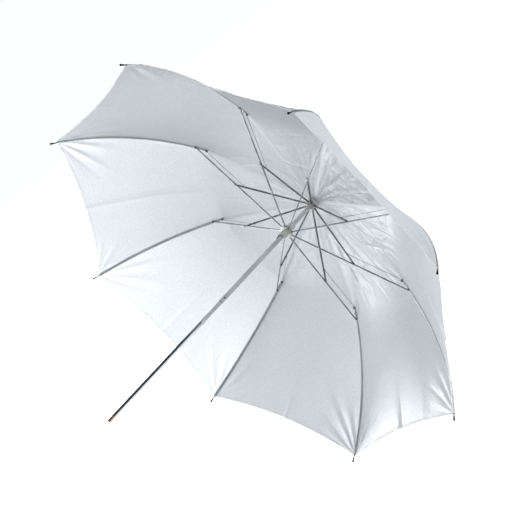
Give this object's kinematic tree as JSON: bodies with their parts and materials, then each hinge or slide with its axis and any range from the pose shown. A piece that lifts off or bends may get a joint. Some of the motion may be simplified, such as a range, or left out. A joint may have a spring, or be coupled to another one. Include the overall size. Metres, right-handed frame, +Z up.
{
  "type": "umbrella reflector",
  "caption": "White satin photographic umbrella on a two-tube telescopic shaft, with a sliding runner and two-fold steel ribs that fold the canopy flat along the shaft.",
  "frame": {"origin": "centre of the brass tip's end face, on the shaft's axis", "axes": "+Y along the shaft from the tip to the crown, so the hollow of the cloth faces -Y; +Z up, midway between two ribs; metres"},
  "size_m": [0.8806, 0.6631, 0.8806],
  "materials": {
    "shaft": "bright drawn steel tube",
    "brass": "turned brass",
    "spring": "dark spring steel",
    "plastic": "moulded ivory nylon",
    "ring_wire": "drawn wire",
    "rib_steel": "rolled and nickelled steel",
    "cloth": "thin white satin, translucent"
  },
  "bodies": {
    "lower_shaft": {"lower_tube": "shaft", "brass_tip": "brass", "button_spring": "spring"},
    "lock_button": {"lock_button": "spring"},
    "upper_shaft": {"upper_tube": "shaft", "crown_hub": "plastic", "crown_ring": "ring_wire", "crown_cap": "plastic", "catch_spring": "spring"},
    "runner_catch": {"runner_catch": "spring"},
    "runner": {"runner": "plastic", "runner_ring": "ring_wire"},
    "top_rib_1": {"top_rib_1": "rib_steel"},
    "inner_cloth_1": {"inner_cloth_1": "cloth"},
    "stretcher_1": {"stretcher_1": "rib_steel"},
    "outer_rib_1": {"outer_rib_1": "rib_steel", "outer_cloth_1": "cloth"},
    "link_wire_1": {"link_wire_1": "rib_steel"},
    "top_rib_2": {"top_rib_2": "rib_steel"},
    "inner_cloth_2": {"inner_cloth_2": "cloth"},
    "stretcher_2": {"stretcher_2": "rib_steel"},
    "outer_rib_2": {"outer_rib_2": "rib_steel", "outer_cloth_2": "cloth"},
    "link_wire_2": {"link_wire_2": "rib_steel"},
    "top_rib_3": {"top_rib_3": "rib_steel"},
    "inner_cloth_3": {"inner_cloth_3": "cloth"},
    "stretcher_3": {"stretcher_3": "rib_steel"},
    "outer_rib_3": {"outer_rib_3": "rib_steel", "outer_cloth_3": "cloth"},
    "link_wire_3": {"link_wire_3": "rib_steel"},
    "top_rib_4": {"top_rib_4": "rib_steel"},
    "inner_cloth_4": {"inner_cloth_4": "cloth"},
    "stretcher_4": {"stretcher_4": "rib_steel"},
    "outer_rib_4": {"outer_rib_4": "rib_steel", "outer_cloth_4": "cloth"},
    "link_wire_4": {"link_wire_4": "rib_steel"},
    "top_rib_5": {"top_rib_5": "rib_steel"},
    "inner_cloth_5": {"inner_cloth_5": "cloth"},
    "stretcher_5": {"stretcher_5": "rib_steel"},
    "outer_rib_5": {"outer_rib_5": "rib_steel", "outer_cloth_5": "cloth"},
    "link_wire_5": {"link_wire_5": "rib_steel"},
    "top_rib_6": {"top_rib_6": "rib_steel"},
    "inner_cloth_6": {"inner_cloth_6": "cloth"},
    "stretcher_6": {"stretcher_6": "rib_steel"},
    "outer_rib_6": {"outer_rib_6": "rib_steel", "outer_cloth_6": "cloth"},
    "link_wire_6": {"link_wire_6": "rib_steel"},
    "top_rib_7": {"top_rib_7": "rib_steel"},
    "inner_cloth_7": {"inner_cloth_7": "cloth"},
    "stretcher_7": {"stretcher_7": "rib_steel"},
    "outer_rib_7": {"outer_rib_7": "rib_steel", "outer_cloth_7": "cloth"},
    "link_wire_7": {"link_wire_7": "rib_steel"},
    "top_rib_8": {"top_rib_8": "rib_steel"},
    "inner_cloth_8": {"inner_cloth_8": "cloth"},
    "stretcher_8": {"stretcher_8": "rib_steel"},
    "outer_rib_8": {"outer_rib_8": "rib_steel", "outer_cloth_8": "cloth"},
    "link_wire_8": {"link_wire_8": "rib_steel"}
  },
  "joints": [
    {"name": "shaft_telescope", "type": "slide", "parent": "lower_shaft", "child": "upper_shaft", "axis": [0, -1, 0], "range_m": [0, 0.235]},
    {"name": "lock_button_press", "type": "slide", "parent": "lower_shaft", "child": "lock_button", "axis": [-0.6157, 0, -0.788], "range_m": [0, 0.0006], "stiffness_N_per_m": 400},
    {"name": "runner_catch_press", "type": "slide", "parent": "upper_shaft", "child": "runner_catch", "axis": [0.788, 0, -0.6157], "range_m": [0, 0.0014], "stiffness_N_per_m": 400},
    {"name": "runner_slide", "type": "slide", "parent": "upper_shaft", "child": "runner", "axis": [0, -1, 0], "range_m": [0, 0.198], "deforming": ["inner_cloth_1", "inner_cloth_2", "inner_cloth_3", "inner_cloth_4", "inner_cloth_5", "inner_cloth_6", "inner_cloth_7", "inner_cloth_8", "outer_cloth_1", "outer_cloth_2", "outer_cloth_3", "outer_cloth_4", "outer_cloth_5", "outer_cloth_6", "outer_cloth_7", "outer_cloth_8"]},
    {"name": "inner_cloth_1_hinge", "type": "hinge", "parent": "upper_shaft", "child": "inner_cloth_1", "pos_m": [-0.00497, 0.652, 0.01201], "axis": [0.9239, 0, 0.3827], "range_deg": [0, 80]},
    {"name": "top_rib_1_hinge", "type": "hinge", "parent": "upper_shaft", "child": "top_rib_1", "pos_m": [-0.00306, 0.641, 0.00739], "axis": [0.9239, 0, 0.3827], "range_deg": [0, 63.37]},
    {"name": "stretcher_1_hinge", "type": "hinge", "parent": "runner", "child": "stretcher_1", "pos_m": [-0.00383, 0.5565, 0.00924], "axis": [-0.9239, 0, -0.3827], "range_deg": [0, 77.48]},
    {"name": "outer_rib_1_hinge", "type": "hinge", "parent": "stretcher_1", "child": "outer_rib_1", "pos_m": [-0.09873, 0.602, 0.23836], "axis": [0.9239, 0, 0.3827], "range_deg": [0, 128.68]},
    {"name": "link_wire_1_hinge", "type": "hinge", "parent": "top_rib_1", "child": "link_wire_1", "pos_m": [-0.04661, 0.59034, 0.11254], "axis": [-0.9239, 0, -0.3827], "range_deg": [0, 142.03]},
    {"name": "inner_cloth_2_hinge", "type": "hinge", "parent": "upper_shaft", "child": "inner_cloth_2", "pos_m": [-0.01201, 0.652, 0.00497], "axis": [0.3827, 0, 0.9239], "range_deg": [0, 80]},
    {"name": "top_rib_2_hinge", "type": "hinge", "parent": "upper_shaft", "child": "top_rib_2", "pos_m": [-0.00739, 0.641, 0.00306], "axis": [0.3827, 0, 0.9239], "range_deg": [0, 63.37]},
    {"name": "stretcher_2_hinge", "type": "hinge", "parent": "runner", "child": "stretcher_2", "pos_m": [-0.00924, 0.5565, 0.00383], "axis": [-0.3827, 0, -0.9239], "range_deg": [0, 77.48]},
    {"name": "outer_rib_2_hinge", "type": "hinge", "parent": "stretcher_2", "child": "outer_rib_2", "pos_m": [-0.23836, 0.602, 0.09873], "axis": [0.3827, 0, 0.9239], "range_deg": [0, 128.68]},
    {"name": "link_wire_2_hinge", "type": "hinge", "parent": "top_rib_2", "child": "link_wire_2", "pos_m": [-0.11254, 0.59034, 0.04661], "axis": [-0.3827, 0, -0.9239], "range_deg": [0, 142.03]},
    {"name": "inner_cloth_3_hinge", "type": "hinge", "parent": "upper_shaft", "child": "inner_cloth_3", "pos_m": [-0.01201, 0.652, -0.00497], "axis": [-0.3827, 0, 0.9239], "range_deg": [0, 80]},
    {"name": "top_rib_3_hinge", "type": "hinge", "parent": "upper_shaft", "child": "top_rib_3", "pos_m": [-0.00739, 0.641, -0.00306], "axis": [-0.3827, 0, 0.9239], "range_deg": [0, 63.37]},
    {"name": "stretcher_3_hinge", "type": "hinge", "parent": "runner", "child": "stretcher_3", "pos_m": [-0.00924, 0.5565, -0.00383], "axis": [0.3827, 0, -0.9239], "range_deg": [0, 77.48]},
    {"name": "outer_rib_3_hinge", "type": "hinge", "parent": "stretcher_3", "child": "outer_rib_3", "pos_m": [-0.23836, 0.602, -0.09873], "axis": [-0.3827, 0, 0.9239], "range_deg": [0, 128.68]},
    {"name": "link_wire_3_hinge", "type": "hinge", "parent": "top_rib_3", "child": "link_wire_3", "pos_m": [-0.11254, 0.59034, -0.04661], "axis": [0.3827, 0, -0.9239], "range_deg": [0, 142.03]},
    {"name": "inner_cloth_4_hinge", "type": "hinge", "parent": "upper_shaft", "child": "inner_cloth_4", "pos_m": [-0.00497, 0.652, -0.01201], "axis": [-0.9239, 0, 0.3827], "range_deg": [0, 80]},
    {"name": "top_rib_4_hinge", "type": "hinge", "parent": "upper_shaft", "child": "top_rib_4", "pos_m": [-0.00306, 0.641, -0.00739], "axis": [-0.9239, 0, 0.3827], "range_deg": [0, 63.37]},
    {"name": "stretcher_4_hinge", "type": "hinge", "parent": "runner", "child": "stretcher_4", "pos_m": [-0.00383, 0.5565, -0.00924], "axis": [0.9239, 0, -0.3827], "range_deg": [0, 77.48]},
    {"name": "outer_rib_4_hinge", "type": "hinge", "parent": "stretcher_4", "child": "outer_rib_4", "pos_m": [-0.09873, 0.602, -0.23836], "axis": [-0.9239, 0, 0.3827], "range_deg": [0, 128.68]},
    {"name": "link_wire_4_hinge", "type": "hinge", "parent": "top_rib_4", "child": "link_wire_4", "pos_m": [-0.04661, 0.59034, -0.11254], "axis": [0.9239, 0, -0.3827], "range_deg": [0, 142.03]},
    {"name": "inner_cloth_5_hinge", "type": "hinge", "parent": "upper_shaft", "child": "inner_cloth_5", "pos_m": [0.00497, 0.652, -0.01201], "axis": [-0.9239, 0, -0.3827], "range_deg": [0, 80]},
    {"name": "top_rib_5_hinge", "type": "hinge", "parent": "upper_shaft", "child": "top_rib_5", "pos_m": [0.00306, 0.641, -0.00739], "axis": [-0.9239, 0, -0.3827], "range_deg": [0, 63.37]},
    {"name": "stretcher_5_hinge", "type": "hinge", "parent": "runner", "child": "stretcher_5", "pos_m": [0.00383, 0.5565, -0.00924], "axis": [0.9239, 0, 0.3827], "range_deg": [0, 77.48]},
    {"name": "outer_rib_5_hinge", "type": "hinge", "parent": "stretcher_5", "child": "outer_rib_5", "pos_m": [0.09873, 0.602, -0.23836], "axis": [-0.9239, 0, -0.3827], "range_deg": [0, 128.68]},
    {"name": "link_wire_5_hinge", "type": "hinge", "parent": "top_rib_5", "child": "link_wire_5", "pos_m": [0.04661, 0.59034, -0.11254], "axis": [0.9239, 0, 0.3827], "range_deg": [0, 142.03]},
    {"name": "inner_cloth_6_hinge", "type": "hinge", "parent": "upper_shaft", "child": "inner_cloth_6", "pos_m": [0.01201, 0.652, -0.00497], "axis": [-0.3827, 0, -0.9239], "range_deg": [0, 80]},
    {"name": "top_rib_6_hinge", "type": "hinge", "parent": "upper_shaft", "child": "top_rib_6", "pos_m": [0.00739, 0.641, -0.00306], "axis": [-0.3827, 0, -0.9239], "range_deg": [0, 63.37]},
    {"name": "stretcher_6_hinge", "type": "hinge", "parent": "runner", "child": "stretcher_6", "pos_m": [0.00924, 0.5565, -0.00383], "axis": [0.3827, 0, 0.9239], "range_deg": [0, 77.48]},
    {"name": "outer_rib_6_hinge", "type": "hinge", "parent": "stretcher_6", "child": "outer_rib_6", "pos_m": [0.23836, 0.602, -0.09873], "axis": [-0.3827, 0, -0.9239], "range_deg": [0, 128.68]},
    {"name": "link_wire_6_hinge", "type": "hinge", "parent": "top_rib_6", "child": "link_wire_6", "pos_m": [0.11254, 0.59034, -0.04661], "axis": [0.3827, 0, 0.9239], "range_deg": [0, 142.03]},
    {"name": "inner_cloth_7_hinge", "type": "hinge", "parent": "upper_shaft", "child": "inner_cloth_7", "pos_m": [0.01201, 0.652, 0.00497], "axis": [0.3827, 0, -0.9239], "range_deg": [0, 80]},
    {"name": "top_rib_7_hinge", "type": "hinge", "parent": "upper_shaft", "child": "top_rib_7", "pos_m": [0.00739, 0.641, 0.00306], "axis": [0.3827, 0, -0.9239], "range_deg": [0, 63.37]},
    {"name": "stretcher_7_hinge", "type": "hinge", "parent": "runner", "child": "stretcher_7", "pos_m": [0.00924, 0.5565, 0.00383], "axis": [-0.3827, 0, 0.9239], "range_deg": [0, 77.48]},
    {"name": "outer_rib_7_hinge", "type": "hinge", "parent": "stretcher_7", "child": "outer_rib_7", "pos_m": [0.23836, 0.602, 0.09873], "axis": [0.3827, 0, -0.9239], "range_deg": [0, 128.68]},
    {"name": "link_wire_7_hinge", "type": "hinge", "parent": "top_rib_7", "child": "link_wire_7", "pos_m": [0.11254, 0.59034, 0.04661], "axis": [-0.3827, 0, 0.9239], "range_deg": [0, 142.03]},
    {"name": "inner_cloth_8_hinge", "type": "hinge", "parent": "upper_shaft", "child": "inner_cloth_8", "pos_m": [0.00497, 0.652, 0.01201], "axis": [0.9239, 0, -0.3827], "range_deg": [0, 80]},
    {"name": "top_rib_8_hinge", "type": "hinge", "parent": "upper_shaft", "child": "top_rib_8", "pos_m": [0.00306, 0.641, 0.00739], "axis": [0.9239, 0, -0.3827], "range_deg": [0, 63.37]},
    {"name": "stretcher_8_hinge", "type": "hinge", "parent": "runner", "child": "stretcher_8", "pos_m": [0.00383, 0.5565, 0.00924], "axis": [-0.9239, 0, 0.3827], "range_deg": [0, 77.48]},
    {"name": "outer_rib_8_hinge", "type": "hinge", "parent": "stretcher_8", "child": "outer_rib_8", "pos_m": [0.09873, 0.602, 0.23836], "axis": [0.9239, 0, -0.3827], "range_deg": [0, 128.68]},
    {"name": "link_wire_8_hinge", "type": "hinge", "parent": "top_rib_8", "child": "link_wire_8", "pos_m": [0.04661, 0.59034, 0.11254], "axis": [-0.9239, 0, 0.3827], "range_deg": [0, 142.03]}
  ],
  "couplings": [
    {"joint": "inner_cloth_1_hinge", "follows": "runner_slide", "rad_per_m": 6.9637},
    {"joint": "top_rib_1_hinge", "follows": "runner_slide", "rad_per_m": 5.4979},
    {"joint": "stretcher_1_hinge", "follows": "runner_slide", "rad_per_m": 6.7418},
    {"joint": "outer_rib_1_hinge", "follows": "runner_slide", "rad_per_m": 11.254},
    {"joint": "link_wire_1_hinge", "follows": "runner_slide", "rad_per_m": 12.432},
    {"joint": "inner_cloth_2_hinge", "follows": "runner_slide", "rad_per_m": 6.9637},
    {"joint": "top_rib_2_hinge", "follows": "runner_slide", "rad_per_m": 5.4979},
    {"joint": "stretcher_2_hinge", "follows": "runner_slide", "rad_per_m": 6.7418},
    {"joint": "outer_rib_2_hinge", "follows": "runner_slide", "rad_per_m": 11.254},
    {"joint": "link_wire_2_hinge", "follows": "runner_slide", "rad_per_m": 12.432},
    {"joint": "inner_cloth_3_hinge", "follows": "runner_slide", "rad_per_m": 6.9637},
    {"joint": "top_rib_3_hinge", "follows": "runner_slide", "rad_per_m": 5.4979},
    {"joint": "stretcher_3_hinge", "follows": "runner_slide", "rad_per_m": 6.7418},
    {"joint": "outer_rib_3_hinge", "follows": "runner_slide", "rad_per_m": 11.254},
    {"joint": "link_wire_3_hinge", "follows": "runner_slide", "rad_per_m": 12.432},
    {"joint": "inner_cloth_4_hinge", "follows": "runner_slide", "rad_per_m": 6.9637},
    {"joint": "top_rib_4_hinge", "follows": "runner_slide", "rad_per_m": 5.4979},
    {"joint": "stretcher_4_hinge", "follows": "runner_slide", "rad_per_m": 6.7418},
    {"joint": "outer_rib_4_hinge", "follows": "runner_slide", "rad_per_m": 11.254},
    {"joint": "link_wire_4_hinge", "follows": "runner_slide", "rad_per_m": 12.432},
    {"joint": "inner_cloth_5_hinge", "follows": "runner_slide", "rad_per_m": 6.9637},
    {"joint": "top_rib_5_hinge", "follows": "runner_slide", "rad_per_m": 5.4979},
    {"joint": "stretcher_5_hinge", "follows": "runner_slide", "rad_per_m": 6.7418},
    {"joint": "outer_rib_5_hinge", "follows": "runner_slide", "rad_per_m": 11.254},
    {"joint": "link_wire_5_hinge", "follows": "runner_slide", "rad_per_m": 12.432},
    {"joint": "inner_cloth_6_hinge", "follows": "runner_slide", "rad_per_m": 6.9637},
    {"joint": "top_rib_6_hinge", "follows": "runner_slide", "rad_per_m": 5.4979},
    {"joint": "stretcher_6_hinge", "follows": "runner_slide", "rad_per_m": 6.7418},
    {"joint": "outer_rib_6_hinge", "follows": "runner_slide", "rad_per_m": 11.254},
    {"joint": "link_wire_6_hinge", "follows": "runner_slide", "rad_per_m": 12.432},
    {"joint": "inner_cloth_7_hinge", "follows": "runner_slide", "rad_per_m": 6.9637},
    {"joint": "top_rib_7_hinge", "follows": "runner_slide", "rad_per_m": 5.4979},
    {"joint": "stretcher_7_hinge", "follows": "runner_slide", "rad_per_m": 6.7418},
    {"joint": "outer_rib_7_hinge", "follows": "runner_slide", "rad_per_m": 11.254},
    {"joint": "link_wire_7_hinge", "follows": "runner_slide", "rad_per_m": 12.432},
    {"joint": "inner_cloth_8_hinge", "follows": "runner_slide", "rad_per_m": 6.9637},
    {"joint": "top_rib_8_hinge", "follows": "runner_slide", "rad_per_m": 5.4979},
    {"joint": "stretcher_8_hinge", "follows": "runner_slide", "rad_per_m": 6.7418},
    {"joint": "outer_rib_8_hinge", "follows": "runner_slide", "rad_per_m": 11.254},
    {"joint": "link_wire_8_hinge", "follows": "runner_slide", "rad_per_m": 12.432}
  ]
}
